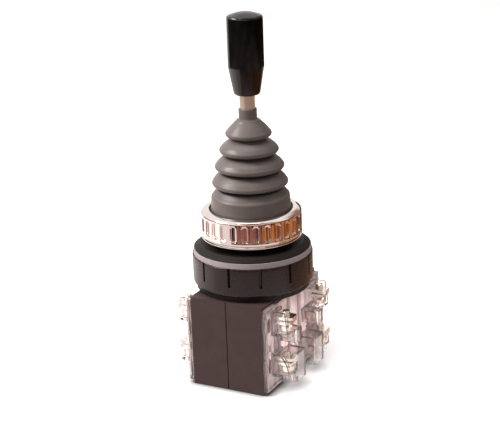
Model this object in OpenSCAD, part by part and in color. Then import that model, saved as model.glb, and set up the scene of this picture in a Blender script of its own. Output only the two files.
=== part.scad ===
// Panel joystick: a spring-centred lever on a gimbal that works four contact sets.
// Origin: on the lever's axis, at the panel seat. +Z points out of the panel, towards the knob.

/* [Panel neck] */
// Outside diameter of the threaded barrel
barrel_d = 30; // [29:0.1:30.4]
// Wall of the barrel
barrel_wall = 2.2; // [1.8:0.1:2.4]
// Pitch of the barrel thread
thread_pitch = 1.5; // [1:0.25:2]
// Depth of the barrel thread
thread_depth = 0.45; // [0.2:0.05:0.8]
// Gap between the panel seat and the ring nut
panel_gap = 2.1; // [2.1:0.1:4]
// Diameter of the flange that carries the contact blocks
flange_d = 43; // [42.6:0.1:44]
// Thickness of that flange
flange_t = 2; // [1.6:0.1:3]

/* [Sealing stack] */
// Thickness of the sealing washer
washer_t = 1.8; // [1.2:0.1:2.5]
// Diameter of the washer's flat top
washer_top_d = 39; // [36:0.5:42]
// Diameter of the washer's foot
washer_foot_d = 44; // [43:0.5:45]
// Thickness of the flange gasket
gasket_t = 2; // [1:0.1:3]
// Diameter of the flange gasket
gasket_d = 44.7; // [43:0.1:45.4]

/* [Locking collar] */
// Diameter of the locking collar
collar_d = 45.6; // [44.5:0.1:48]
// Height of the locking collar
collar_h = 11.3; // [10:0.1:14]
// Number of grip slots
collar_slots = 12; // [6:1:18]
// Turn of the first grip slot from the X axis, in degrees
collar_slot_start = 4.3; // [0:0.1:29]
// Width of a grip slot
collar_slot_w = 1.1; // [0.8:0.1:2]
// Depth of a grip slot
collar_slot_depth = 1.4; // [0.8:0.1:2]
// Height of solid rim left below a grip slot
collar_rim_h = 3.8; // [2:0.1:5]
// Chamfer at the foot of the collar
collar_chamfer = 0.7; // [0.3:0.1:1.2]

/* [Ring nut] */
// Diameter of the ring nut
ring_d = 38; // [36:0.1:40]
// Height of the ring nut
ring_h = 11.2; // [10:0.1:13]
// Number of grip recesses
ring_recesses = 28; // [12:1:32]
// Share of the pitch that a recess takes
recess_share = 0.58; // [0.4:0.01:0.7]
// Depth of a grip recess
recess_depth = 0.9; // [0.4:0.05:1.2]
// Height of a grip recess
recess_h = 6; // [4:0.1:7]
// Height of the band below the recesses
ring_band_h = 3; // [2:0.1:4]
// Height of the rounded crown above the side wall
ring_crown_h = 1.6; // [1:0.1:2]
// Clearance between the ring nut and the boot
ring_boot_gap = 0.6; // [0.3:0.1:1]

/* [Boot] */
// Diameter of the boot's skirt at its foot
skirt_d = 30.4; // [29.6:0.1:31]
// Diameter of the boot's skirt at its shoulder
skirt_top_d = 29.6; // [29:0.1:30]
// Height of the spigot that the skirt is pushed over
spigot_h = 7; // [6:0.1:8]
// Wall between the skirt's foot and the spigot
skirt_wall = 1.75; // [1.5:0.05:2]
// Distance between two folds
fold_pitch = 6.2; // [5.8:0.05:6.6]
// Number of folds between the skirt and the top cone
fold_count = 3; // [3:1:3]
// Loss of radius at the first fold, from which the later ones grow
fold_step = 0.53; // [0.4:0.01:0.6]
// Radius of a valley as a share of the crest above it
valley_share = 0.83; // [0.78:0.01:0.86]
// Depth of a valley below the crest above it
valley_drop = 2.5; // [2.2:0.1:3]
// Radial wall of the bellows
bellows_wall = 1.4; // [1:0.1:1.6]
// Height of the top cone above its widest line
cone_h = 5.3; // [4.5:0.1:6]
// Diameter at the top of the cone
cone_top_d = 8.8; // [8.4:0.1:10]
// Diameter of the neck that grips the shaft
neck_d = 6.8; // [6.6:0.1:8]
// Height of that neck
neck_h = 4; // [3:0.1:5]

/* [Lever] */
// Height of the pivot above the panel seat
pivot_z = 2; // [1.8:0.1:2.2]
// Diameter of the shaft
shaft_d = 5.7; // [5.4:0.1:5.8]
// Diameter of the shaft's threaded ends
shaft_thread_d = 4.8; // [4.4:0.1:5]
// Bare shaft between the boot and the knob
shaft_bare = 5.4; // [4:0.1:12]
// Diameter of the hub
hub_d = 10.6; // [10.2:0.1:10.8]
// Height of the hub's barrel
hub_h = 5; // [4.6:0.1:5.2]
// Height of the hub's collar above its barrel
hub_collar_h = 3.5; // [2:0.1:5]

/* [Knob] */
// Length of the knob without its domed top
knob_h = 29.2; // [24:0.1:40]
// Diameter of the knob
knob_d = 13.3; // [12:0.1:16]
// Diameter of the knob at its foot
knob_foot_d = 9.8; // [9.2:0.1:11]
// Length of the knob's taper
knob_taper_h = 10.4; // [6:0.1:12]
// Height of the domed top
knob_dome_h = 1.2; // [0.6:0.1:2]
// Radius of the knob's upper edge
knob_edge_r = 1; // [0.5:0.1:1.5]
// Diameter of the threaded insert
insert_d = 7.2; // [6.6:0.1:7.6]
// Length of the threaded insert
insert_h = 13; // [10:0.5:18]

/* [Gimbal] */
// Outside diameter of the gimbal ring
gimbal_d = 17.8; // [17.6:0.1:18]
// Radial thickness of the gimbal ring
gimbal_wall = 2.3; // [2:0.1:2.4]
// Height of the gimbal ring
gimbal_h = 4; // [3.8:0.1:4.2]
// Diameter of the pivot pins
pivot_pin_d = 2.4; // [1.6:0.1:2.6]
// Radial clearance of a pin in its bearing
bearing_gap = 0.05; // [0.02:0.01:0.09]
// Inside diameter of the carrier that holds the gimbal
carrier_bore_d = 20.6; // [20.4:0.1:20.8]
// Reach of the carrier below the pivot
carrier_drop = 2.4; // [2.2:0.1:2.6]
// Reach of the carrier above the pivot
carrier_rise = 4.5; // [4.2:0.1:5]
// Width of the carrier's four legs
carrier_leg_w = 6; // [5:0.1:7]

/* [Actuator] */
// Distance of an actuating pin from the lever's axis, along X and along Y
pin_offset = 6; // [5.9:0.05:6.1]
// Diameter of an actuating pin
pin_d = 3; // [2.6:0.1:3]
// Distance from the pivot to the underside of the spider plate
spider_drop = 6; // [5.9:0.1:6.2]
// Thickness of the spider plate's tips
spider_tip_t = 0.6; // [0.5:0.1:0.7]
// Thickness of the spider plate's web above its tips
spider_web_t = 0.9; // [0.7:0.1:1]
// Reach of the spider plate's arms
spider_reach = 11; // [10.8:0.1:11.1]
// Reach of the web on those arms
spider_web_reach = 9.4; // [9:0.1:9.6]
// Width of an arm
spider_arm_w = 4.8; // [4.4:0.1:5]
// Rest gap between the spider plate and a pin
spider_gap = 0.5; // [0.45:0.05:0.6]
// Width across the flats of the hub nut
nut_af = 8; // [7:0.5:8]
// Thickness of the hub nut
nut_t = 2.6; // [2:0.1:2.8]
// Thickness of the plate that guides the actuating pins
guide_t = 3; // [2:0.1:4]
// Depth of the guide plate's top below the panel seat
guide_depth = 8.4; // [8.2:0.1:9]

/* [Contact blocks] */
// Width of one contact block
block_w = 15; // [14.6:0.1:16]
// Depth of a contact block, front to back
block_l = 46.2; // [45.8:0.1:48]
// Height of a contact block
block_h = 35.1; // [34.8:0.1:38]
// Wall of a contact block
block_wall = 1.4; // [1.2:0.1:1.6]
// Radius of the block's upright edges
block_edge_r = 0.4; // [0.2:0.1:1.2]
// Gap between the two blocks
block_gap = 0.1; // [0.1:0.05:0.4]
// Thickness of the clear side cover
cover_t = 1.2; // [0.8:0.1:1.6]
// Inset of the cover from the block's top
cover_inset_top = 1.3; // [0.5:0.1:1.5]
// Inset of the cover from the block's foot
cover_inset_foot = 1.5; // [0.5:0.1:2]
// Width of the raised rim round the cover
cover_rim_w = 0.9; // [0.6:0.1:1.2]
// Height of that rim above the cover's face
cover_rim_t = 0.4; // [0.2:0.1:0.8]
// Height of the cover's upright ribs above its face
cover_rib_t = 0.8; // [0.5:0.1:1.2]
// Wall of the cover's terminal guards
guard_wall = 0.9; // [0.7:0.1:1.1]
// Reach of the guards from the cover's face
guard_reach = 7.2; // [6.5:0.1:8]
// Height of the upper guard boxes
upper_guard_h = 5.5; // [4:0.1:7]
// Width of the upper guard boxes
upper_guard_w = 4.2; // [3:0.1:5]
// Width of the lower guard boxes
lower_guard_w = 7.2; // [5:0.1:8]
// Height of the sleeve that guides a screwdriver below each shelf
sleeve_h = 2; // [1:0.1:3]
// Length of a snap window
window_l = 5.6; // [4:0.1:7]
// Width of a snap window
window_w = 2.2; // [1.2:0.1:2.6]
// Diameter of the long screws that hold the blocks
block_screw_d = 2.5; // [2:0.1:2.6]

/* [Terminals] */
// Distance of a terminal from the middle, along Y
terminal_y = 14.7; // [14.5:0.1:14.9]
// Distance of a terminal screw from the block's side
terminal_x = 5.6; // [5.4:0.1:6.4]
// Depth of the upper terminals below the block's top
terminal_drop = 4.8; // [4.6:0.1:5.2]
// Distance between the upper and the lower terminals
terminal_row = 16.3; // [16:0.1:16.8]
// Width of a terminal
terminal_w = 5.4; // [5:0.1:6]
// Reach of a terminal past its screw
terminal_reach = 3.6; // [3.2:0.1:4]
// Chamfer of a terminal's outer corners
terminal_corner = 0.9; // [0.4:0.1:1.4]
// Thickness of the terminal strips
strip_t = 1; // [0.8:0.1:1]
// Diameter of a terminal screw
terminal_screw_d = 3; // [2.6:0.1:3.4]
// Diameter of a terminal screw's head
terminal_head_d = 5.4; // [5:0.1:6]
// Height of a terminal screw's head
terminal_head_h = 2.7; // [2:0.1:3]
// Gap that takes the wire
wire_gap = 0.7; // [0.5:0.1:1]
// Thickness of a clamp washer
clamp_t = 1.2; // [0.8:0.1:1.4]
// Length of a clamp washer, along X
clamp_l = 6.2; // [5.4:0.1:6.6]

/* [Contact sets] */
// Travel of a contact set each way
travel = 1.85; // [1.85:0.01:1.9]
// Depth of the fixed contacts below the flange
contact_depth = 17.9; // [17.7:0.1:18.2]
// Gap between the contacts at rest
contact_gap = 2; // [1.95:0.05:2.1]
// Diameter of a contact tip
tip_d = 2.2; // [1.8:0.1:2.4]
// Height of a contact tip
tip_h = 0.5; // [0.4:0.05:0.7]
// Gap between a contact bridge's end and the wall between the cells
bridge_gap = 0.3; // [0.2:0.05:0.5]
// Thickness of the contact bridge
bridge_t = 0.6; // [0.5:0.05:0.8]
// Width of the contact bridge
bridge_w = 2.6; // [2.2:0.1:2.8]
// Width of the plunger, along X
plunger_w = 5; // [4.6:0.1:5.2]
// Thickness of the plunger, along Y
plunger_t = 3.6; // [3.2:0.1:3.8]
// Height of the plunger above its window
plunger_head_h = 4.9; // [4.6:0.1:5.2]
// Height of the plunger below its window
plunger_foot_h = 4; // [3.6:0.1:4.2]
// Gap below the plunger's stem at rest
stem_gap = 4.8; // [4:0.1:6]
// Diameter of the plunger's stem
stem_d = 2.4; // [2:0.1:2.6]
// Wire diameter of the springs
wire_d = 0.45; // [0.3:0.05:0.5]
// Mean diameter of the return springs
return_spring_d = 4; // [3.8:0.1:4.4]
// Turns of a return spring
return_spring_turns = 6; // [4:1:8]
// Mean diameter of the contact springs
contact_spring_d = 2.2; // [2:0.1:2.3]
// Turns of a contact spring
contact_spring_turns = 5; // [3:1:6]

/* [Hidden] */
SETS = ["left_front", "right_front", "left_back", "right_back"];
SET_SIDES = [[-1, -1], [1, -1], [-1, 1], [1, 1]];

$fn = 96;
small_fn = 48;
cut = 1;                 // how far a cutting solid runs past the face it cuts
seat_gap = 0.05;         // radial gap between pieces that are fitted into each other
free_gap = 0.35;         // gap round a moving piece that isn't guided there

// Heights, from the panel seat down to the foot of the blocks
washer_z = -washer_t;
gasket_z = washer_z - gasket_t;
collar_z = gasket_z - collar_h;
flange_z = collar_z - flange_t;
block_z = flange_z - block_h;

// Radii and heights of the neck
barrel_r = barrel_d / 2;
barrel_bore_r = barrel_r - barrel_wall;
lip_z = pivot_z + carrier_rise;
ring_z = panel_gap;
ring_top = ring_z + ring_h;
ring_r = ring_d / 2;
ring_opening_r = skirt_d / 2 + ring_boot_gap;
ring_ceiling_h = 3.3;
thread_top = ring_top - ring_ceiling_h;
spigot_top = thread_top + spigot_h;
spigot_r = skirt_d / 2 - skirt_wall;
bead_h = 0.4;
bead_z = spigot_top - 2.5;

// Boot: the crests lose radius by a power of their number
skirt_z = thread_top + 0.2;
skirt_top_z = spigot_top + 0.6;
fold_z = skirt_top_z + 5.7;
fold_power = 1.77;
crest_round = 0.9;       // height of the rounding on either side of a crest
cone_swell = 0.45;       // share of its radius that the cone has lost at half its height
function crest_r(i) = skirt_top_d / 2 - fold_step * pow(i, fold_power);
function crest_z(i) = fold_z + (i - 1) * fold_pitch;
function valley_r(i) = crest_r(i + 1) * valley_share;
function valley_z(i) = crest_z(i + 1) - valley_drop;
cone_z = crest_z(fold_count + 1);
neck_z = cone_z + cone_h;
neck_top = neck_z + neck_h;

// Lever
shaft_r = shaft_d / 2;
shaft_thread_r = shaft_thread_d / 2;
hub_r = hub_d / 2;
shoulder_z = pivot_z - hub_h / 2;
spider_z = pivot_z - spider_drop;
spider_top = spider_z + spider_tip_t + spider_web_t;
nut_z = spider_z - nut_t;
knob_z = neck_top + shaft_bare;
knob_r = knob_d / 2;
insert_z = knob_z + 0.8;

// Gimbal: its axes lie along the diagonals, over the actuating pins
gimbal_r = gimbal_d / 2;
pivot_pin_r = pivot_pin_d / 2;
carrier_r = barrel_bore_r - seat_gap;
carrier_bore_r = carrier_bore_d / 2;
key_w = 2;
key_h = 0.8;
guide_z = -guide_depth - guide_t;

// Actuating pins and plungers
pin_r = pin_d / 2;
pin_top = spider_z - spider_gap;
plunger_stop = 0.25;     // gap between a raised plunger and the block's top wall
plunger_top = flange_z - block_wall - travel - plunger_stop;

// Contact levels
fixed_z = flange_z - contact_depth;
tip_z = fixed_z + tip_h + contact_gap;
bridge_z = tip_z + tip_h;
window_top = plunger_top - plunger_head_h;
plunger_z = bridge_z - plunger_foot_h;
floor_z = block_z + block_wall;
stem_z = floor_z + stem_gap;
tip_pad = 1.3;                           // reach of the strips round a contact tip

// Terminals
block_side = block_w;
screw_x = block_side + terminal_x;
strip_reach = screw_x + terminal_reach;
terminal_y0 = terminal_y - terminal_w / 2;
terminal_y1 = terminal_y + terminal_w / 2;
upper_z = flange_z - terminal_drop;
lower_z = upper_z - terminal_row;
TERMINAL_Z = [upper_z, lower_z];
screw_end = 2;
shelf_gap = 1;
head_foot = strip_t + wire_gap + clamp_t + terminal_head_h;

// Places inside a block
inner_x = block_gap / 2 + block_wall;
cell_y = block_wall / 2;
wall_y = block_l / 2 - block_wall;
leg_run = 10.2;
leg_x = inner_x + leg_run;               // the upper terminal's strip turns down here
arm_run = 8;
arm_x = inner_x + arm_run;               // the lower terminal's strip turns inwards here
arm_w = 3.2;
bridge_half = pin_offset - cell_y - bridge_gap;
tip_offset = bridge_half - tip_d / 2 - 0.1;
block_screw_x = 3.7;
block_screw_y = flange_d / 2 - 2.1;
boss_r = block_screw_d / 2 + 1.25;
cover_z0 = block_z + cover_inset_foot;
cover_z1 = flange_z - cover_inset_top;
cover_x = block_side + cover_t;
guard_x = cover_x + guard_reach;
guard_y = terminal_y0 - 0.3;             // the middle guard boxes end here
side_y = terminal_y1 + 0.3;              // the outer side walls start here
side_x = guard_x - 0.6;
side_t = 0.8;
skirt_depth = 1.2;                       // how far the cover's skirt reaches into the block
rim_gap = 0.12;                          // gap round that skirt

// ---------- helpers ----------

module ring(r_out, r_in, z0, z1) {
    rotate_extrude() translate([r_in, z0]) square([r_out - r_in, z1 - z0]);
}

module box(low, high) {
    translate(low) cube(high - low);
}

module rounded_rect(low, high, r) {
    translate([low[0] + r, low[1]]) square([high[0] - low[0] - 2 * r, high[1] - low[1]]);
    translate([low[0], low[1] + r]) square([high[0] - low[0], high[1] - low[1] - 2 * r]);
    for (x = [low[0] + r, high[0] - r], y = [low[1] + r, high[1] - r])
        translate([x, y]) circle(r, $fn = small_fn);
}

// A tube swept round a helix: "sides" round the wire, "steps" to each turn.
module coil(r, wire, z0, z1, turns, steps = 10, sides = 5) {
    count = turns * steps;
    mid0 = z0 + wire / 2;
    rise = z1 - z0 - wire;
    points = [
        for (i = [0:count], j = [0:sides - 1])
            let (a = 360 * i / steps, b = 360 * j / sides, ring_r = r + wire / 2 * cos(b))
            [ring_r * cos(a), ring_r * sin(a), mid0 + rise * i / count + wire / 2 * sin(b)]
    ];
    sweep = [
        for (i = [0:count - 1], j = [0:sides - 1])
            let (k = (j + 1) % sides, a = i * sides, b = a + sides)
            each [[a + k, b + k, b + j], [a + k, b + j, a + j]]
    ];
    caps = [[for (j = [sides - 1:-1:0]) j], [for (j = [0:sides - 1]) count * sides + j]];
    polyhedron(points, concat(sweep, caps), convexity = 10);
}

// Its children, and their mirror image front to back
module mirror_pair() {
    children();
    mirror([0, 1, 0]) children();
}

// Both ends of a pivot pin pair, on the diagonal at "angle"
module pin_pair(angle, r_from, r_to, radius) {
    translate([0, 0, pivot_z]) for (side = [0, 180]) rotate([0, 90, angle + side])
        translate([0, 0, r_from]) cylinder(r_to - r_from, r = radius, $fn = small_fn);
}

// Quarter-round profile points from angle a to angle b
function arc(cx, cz, r, a, b, n = 6) =
    [for (i = [0:n]) let (t = a + (b - a) * i / n) [cx + r * cos(t), cz + r * sin(t)]];

// ---------- neck ----------

module barrel_housing() {
    turns = floor((thread_top - collar_z - 1) / thread_pitch);
    thread = [
        for (i = [0:turns - 1], j = [0:2])
            [barrel_r - (j == 1 ? thread_depth : 0), collar_z + 1 + (i + j / 2) * thread_pitch * 0.98]
    ];
    color([0.17, 0.15, 0.15]) {
        difference() {
            rotate_extrude() polygon(concat(
                [[barrel_bore_r, flange_z], [flange_d / 2, flange_z], [flange_d / 2, collar_z],
                 [barrel_r, collar_z]],
                thread,
                [[barrel_r, thread_top], [spigot_r, thread_top], [spigot_r, bead_z],
                 [spigot_r + bead_h, bead_z + bead_h], [spigot_r, bead_z + 2 * bead_h],
                 [spigot_r, spigot_top], [carrier_bore_r, spigot_top], [carrier_bore_r, lip_z],
                 [barrel_bore_r, lip_z]]
            ));
            for (x = [-1, 1], y = [-1, 1])
                translate([x * block_screw_x, y * block_screw_y, flange_z - cut])
                    cylinder(flange_t + cut - 0.3, r = block_screw_d / 2 + seat_gap, $fn = small_fn);
        }
        intersection() {
            box([barrel_bore_r - key_h, -key_w / 2, guide_z], [barrel_r, key_w / 2, lip_z]);
            translate([0, 0, guide_z]) cylinder(lip_z - guide_z, r = barrel_r - 0.8);
        }
    }
}

// The slot that lets a fitted piece pass over the barrel's key
module keyway(z0, z1) {
    box([barrel_bore_r - key_h - 0.15, -key_w / 2 - 0.15, z0], [barrel_r, key_w / 2 + 0.15, z1]);
}

module pivot_carrier() {
    foot = -guide_depth;
    color([0.62, 0.62, 0.64]) difference() {
        union() {
            ring(carrier_r, carrier_bore_r, pivot_z - carrier_drop, lip_z);
            intersection() {
                ring(carrier_r, carrier_bore_r + 0.7, foot, lip_z);
                for (a = [0, 90]) rotate(a)
                    box([-barrel_r, -carrier_leg_w / 2, foot], [barrel_r, carrier_leg_w / 2, lip_z]);
            }
        }
        pin_pair(45, carrier_bore_r - cut, barrel_r, pivot_pin_r + bearing_gap);
        keyway(foot - cut, lip_z + cut);
    }
}

module pin_guide() {
    skirt_r = carrier_r - 2.1;
    color([0.85, 0.83, 0.78]) difference() {
        translate([0, 0, flange_z]) cylinder(-guide_depth - flange_z, r = carrier_r);
        translate([0, 0, flange_z - cut]) cylinder(guide_z - flange_z + cut, r = skirt_r);
        for (s = SET_SIDES) translate([s[0] * pin_offset, s[1] * pin_offset, guide_z - cut])
            cylinder(guide_t + 2 * cut, r = pin_r + 0.07, $fn = small_fn);
        keyway(guide_z - cut, -guide_depth + cut);
    }
}

module sealing_washer() {
    inner_r = barrel_r + 0.25;
    color([0.13, 0.12, 0.12]) rotate_extrude() polygon([
        [inner_r, washer_z], [washer_foot_d / 2, washer_z], [washer_foot_d / 2, washer_z + 0.3],
        [washer_top_d / 2, 0], [inner_r, 0]
    ]);
}

module flange_gasket() {
    color([0.66, 0.63, 0.68]) ring(gasket_d / 2, barrel_r + 0.2, gasket_z, washer_z);
}

module locking_collar() {
    r = collar_d / 2;
    bore_r = barrel_r + seat_gap;
    slot_h = collar_h - collar_rim_h;
    color([0.18, 0.15, 0.15]) difference() {
        rotate_extrude() polygon([
            [bore_r, collar_z], [r - collar_chamfer, collar_z], [r, collar_z + collar_chamfer],
            [r, gasket_z - 0.5], [r - 0.5, gasket_z], [bore_r, gasket_z]
        ]);
        for (i = [0:collar_slots - 1]) rotate(collar_slot_start + i * 360 / collar_slots)
            box([r - collar_slot_depth, -collar_slot_w / 2, gasket_z - slot_h],
                [r + cut, collar_slot_w / 2, gasket_z + cut]);
    }
}

module ring_nut() {
    bore_r = barrel_r + seat_gap;
    recess_w = PI * ring_d / ring_recesses * recess_share;
    recess_z = ring_z + ring_band_h;
    side_top = ring_top - ring_crown_h;
    crown_w = ring_r - ring_opening_r;
    crown_angle = 75;
    color([0.85, 0.83, 0.82]) difference() {
        rotate_extrude() polygon(concat(
            [[bore_r, ring_z], [ring_r - 0.7, ring_z], [ring_r, ring_z + 0.5], [ring_r, ring_z + 1],
             [ring_r - 0.25, ring_z + 1.2], [ring_r - 0.25, ring_z + 1.5], [ring_r, ring_z + 1.7]],
            [for (i = [0:5]) let (t = crown_angle * i / 5)
                [ring_opening_r + crown_w * cos(t), side_top + ring_crown_h * sin(t) / sin(crown_angle)]],
            [[ring_opening_r, ring_top], [ring_opening_r, thread_top], [bore_r, thread_top]]
        ));
        for (i = [0:ring_recesses - 1]) rotate((i + 0.5) * 360 / ring_recesses)
            translate([ring_r - recess_depth, 0, recess_z]) rotate([90, 0, 90])
                linear_extrude(recess_depth + cut) {
                    translate([-recess_w / 2, 0]) square([recess_w, recess_h - recess_w / 2]);
                    translate([0, recess_h - recess_w / 2]) circle(recess_w / 2, $fn = small_fn);
                }
    }
}

// Outline of the bellows, from the skirt's shoulder to the cone, drawn in by "inset":
// each fold is undercut steeply below its rounded crest and slopes up to the next valley.
function bellows(inset) = concat(
    [for (i = [0:3]) let (t = 20 * i)
        [skirt_top_d / 2 - inset - 2 + 2 * cos(t), skirt_top_z + 1.6 * sin(t)]],
    [for (i = [0:fold_count]) let (r = crest_r(i + 1) - inset, z = crest_z(i + 1)) each concat(
        [[valley_r(i) - inset, valley_z(i)]],
        [for (t = [-60:30:30]) [r - crest_round * (1 - cos(t)), z + crest_round * sin(t)]],
        i == fold_count ? [] : [[r - 1.7 * crest_round, z + 1.6 * crest_round]]
    )]
);

module boot() {
    grip_r = shaft_r + seat_gap;
    inner = bellows(bellows_wall);
    cone_r = crest_r(fold_count + 1);
    mid_r = cone_r - cone_swell * (cone_r - cone_top_d / 2);
    mid_z = cone_z + 0.5 * cone_h;
    color([0.42, 0.41, 0.41]) rotate_extrude() polygon(concat(
        [[spigot_r + seat_gap, skirt_z], [skirt_d / 2, skirt_z], [skirt_top_d / 2, skirt_top_z]],
        bellows(0),
        [[mid_r, mid_z], [cone_top_d / 2, neck_z - 0.3], [neck_d / 2 + 0.3, neck_z],
         [neck_d / 2, neck_z + 0.3], [neck_d / 2, neck_top], [grip_r, neck_top], [grip_r, neck_z - 1]],
        [[mid_r - bellows_wall, mid_z]],
        [for (i = [len(inner) - 1:-1:0]) inner[i]],
        [[spigot_r + seat_gap, spigot_top + 0.2], [spigot_r + seat_gap, bead_z + 2 * bead_h],
         [spigot_r + bead_h + seat_gap, bead_z + bead_h], [spigot_r + seat_gap, bead_z]]
    ));
}

// ---------- lever and gimbal ----------

module lever_hub() {
    neck_r = hub_r - 0.9;
    color([0.80, 0.78, 0.72]) difference() {
        rotate_extrude() polygon([
            [shaft_thread_r + seat_gap, spider_top], [neck_r, spider_top], [neck_r, shoulder_z - 0.4],
            [hub_r - 0.4, shoulder_z], [hub_r, shoulder_z + 0.4], [hub_r, pivot_z + hub_h / 2 - 0.4],
            [hub_r - 0.4, pivot_z + hub_h / 2], [neck_r - 0.3, pivot_z + hub_h / 2 + hub_collar_h],
            [shaft_r + seat_gap, pivot_z + hub_h / 2 + hub_collar_h], [shaft_r + seat_gap, shoulder_z],
            [shaft_thread_r + seat_gap, shoulder_z]
        ]);
        pin_pair(135, hub_r - 1.9, hub_r + cut, pivot_pin_r + bearing_gap);
    }
}

module lever_shaft() {
    foot = nut_z - 0.5;
    top = insert_z + insert_h - 1;
    color([0.78, 0.74, 0.70]) rotate_extrude() polygon([
        [0, foot], [shaft_thread_r - 0.4, foot], [shaft_thread_r, foot + 0.4],
        [shaft_thread_r, shoulder_z], [shaft_r, shoulder_z], [shaft_r, knob_z + 0.4],
        [shaft_thread_r, knob_z + 0.8], [shaft_thread_r, top - 0.4], [shaft_thread_r - 0.4, top], [0, top]
    ]);
}

// One layer of the four-armed plate
module spider_layer(reach, t) {
    linear_extrude(t) {
        circle(nut_af / 2 + 1);
        for (a = [45:90:315]) rotate(a) {
            translate([0, -spider_arm_w / 2]) square([reach - spider_arm_w / 2, spider_arm_w]);
            translate([reach - spider_arm_w / 2, 0]) circle(spider_arm_w / 2, $fn = small_fn);
        }
    }
}

module spider_plate() {
    color([0.70, 0.70, 0.72]) difference() {
        union() {
            translate([0, 0, spider_z]) spider_layer(spider_reach, spider_tip_t);
            translate([0, 0, spider_z + spider_tip_t]) spider_layer(spider_web_reach, spider_web_t);
        }
        translate([0, 0, spider_z - cut])
            cylinder(spider_tip_t + spider_web_t + 2 * cut, r = shaft_thread_r + seat_gap, $fn = small_fn);
    }
}

module hub_nut() {
    color([0.74, 0.72, 0.66]) translate([0, 0, nut_z]) difference() {
        cylinder(nut_t, r = nut_af / sqrt(3), $fn = 6);
        translate([0, 0, -cut]) cylinder(nut_t + 2 * cut, r = shaft_thread_r + seat_gap, $fn = small_fn);
    }
}

module knob() {
    top = knob_z + knob_h;
    taper_z = knob_z + knob_taper_h;
    color([0.05, 0.04, 0.04]) rotate_extrude() polygon(concat(
        [[shaft_r + 0.15, knob_z], [knob_foot_d / 2 - 0.5, knob_z], [knob_foot_d / 2, knob_z + 0.5],
         [knob_r, taper_z]],
        arc(knob_r - knob_edge_r, top - knob_edge_r, knob_edge_r, 0, 75),
        [for (i = [1:5]) let (t = i / 5, r = (knob_r - knob_edge_r) * (1 - t))
            [r, top + knob_dome_h * (1 - pow(1 - t, 2))]],
        [[0, insert_z + insert_h], [insert_d / 2, insert_z + insert_h], [insert_d / 2, insert_z],
         [shaft_r + 0.15, insert_z]]
    ));
}

module knob_insert() {
    groove = 0.4;
    color([0.80, 0.62, 0.28]) rotate_extrude() polygon(concat(
        [[shaft_thread_r + seat_gap, insert_z], [insert_d / 2, insert_z]],
        [for (i = [1:3]) let (z = insert_z + i * insert_h / 4) each
            [[insert_d / 2, z - groove], [insert_d / 2 - groove, z], [insert_d / 2, z + groove]]],
        [[insert_d / 2, insert_z + insert_h], [shaft_thread_r + seat_gap, insert_z + insert_h]]
    ));
}

module gimbal_ring() {
    color([0.72, 0.70, 0.66]) difference() {
        ring(gimbal_r, gimbal_r - gimbal_wall, pivot_z - gimbal_h / 2, pivot_z + gimbal_h / 2);
        for (a = [45, 135]) pin_pair(a, 0, gimbal_r + cut, pivot_pin_r);
    }
}

module outer_pivot_pins() {
    color([0.78, 0.78, 0.80])
        pin_pair(45, gimbal_r - gimbal_wall, carrier_r - 0.1, pivot_pin_r);
}

module inner_pivot_pins() {
    color([0.78, 0.78, 0.80]) pin_pair(135, hub_r - 1.7, gimbal_r - 0.1, pivot_pin_r);
}

// ---------- contact blocks ----------

module at_side(side) {
    if (side > 0) children();
    else mirror([1, 0, 0]) children();
}

module block_screw_places() {
    for (y = [-1, 1]) translate([block_screw_x, y * block_screw_y, 0]) children();
}

module block_housing() {
    color([0.25, 0.20, 0.19]) difference() {
        union() {
            difference() {
                translate([0, 0, block_z]) linear_extrude(block_h)
                    rounded_rect([block_gap / 2, -block_l / 2], [block_side, block_l / 2], block_edge_r);
                mirror_pair()
                    box([inner_x, cell_y, floor_z], [block_side + cut, wall_y, flange_z - block_wall]);
            }
            block_screw_places() translate([0, 0, block_z]) cylinder(block_h, r = boss_r, $fn = small_fn);
            // Ribs that guide the plungers, and spigots that centre the return springs
            for (y = [-1, 1]) {
                for (s = [-1, 1]) let (mid = y * pin_offset + s * (plunger_t / 2 + free_gap + 0.4))
                    box([inner_x - 0.2, mid - 0.4, bridge_z + travel + 1.2],
                        [pin_offset, mid + 0.4, flange_z - 0.2]);
                translate([pin_offset, y * pin_offset, block_z + 0.2])
                    cylinder(block_wall + 1, r = (return_spring_d - wire_d) / 2 - 0.25, $fn = small_fn);
            }
        }
        for (y = [-1, 1]) translate([pin_offset, y * pin_offset, flange_z - block_wall - cut])
            cylinder(block_wall + 2 * cut, r = pin_r + free_gap, $fn = small_fn);
        block_screw_places() {
            translate([0, 0, block_z - cut])
                cylinder(block_h + 2 * cut, r = block_screw_d / 2 + seat_gap, $fn = small_fn);
            translate([0, 0, block_z - cut]) cylinder(2.4 + cut, r = block_screw_d / 2 + 1, $fn = small_fn);
        }
    }
}

module left_block_housing() at_side(-1) block_housing();
module right_block_housing() at_side(1) block_housing();

// The top of the shelf below the screw of a terminal at height "z"
function shelf_z(z) = z - head_foot - shelf_gap;

// A middle guard, hollow from below
module guard_box(width, z0, z1) {
    difference() {
        box([cover_x - 0.1, guard_y - width, z0], [guard_x, guard_y, z1]);
        box([cover_x - 0.2, guard_y - width + guard_wall, z0 - cut],
            [guard_x - guard_wall, guard_y - guard_wall, z1 - guard_wall]);
    }
}

// The wall at a terminal's outer side. "crown" is its edge from the cover's face to the shelf.
module guard_side(z, crown) {
    foot = shelf_z(z) - guard_wall;
    translate([0, side_y + side_t, 0]) rotate([90, 0, 0]) linear_extrude(side_t)
        polygon(concat([[cover_x - 0.1, foot]], [[cover_x - 0.1, crown[0][1]]], crown, [[side_x, foot]]));
}

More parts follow.
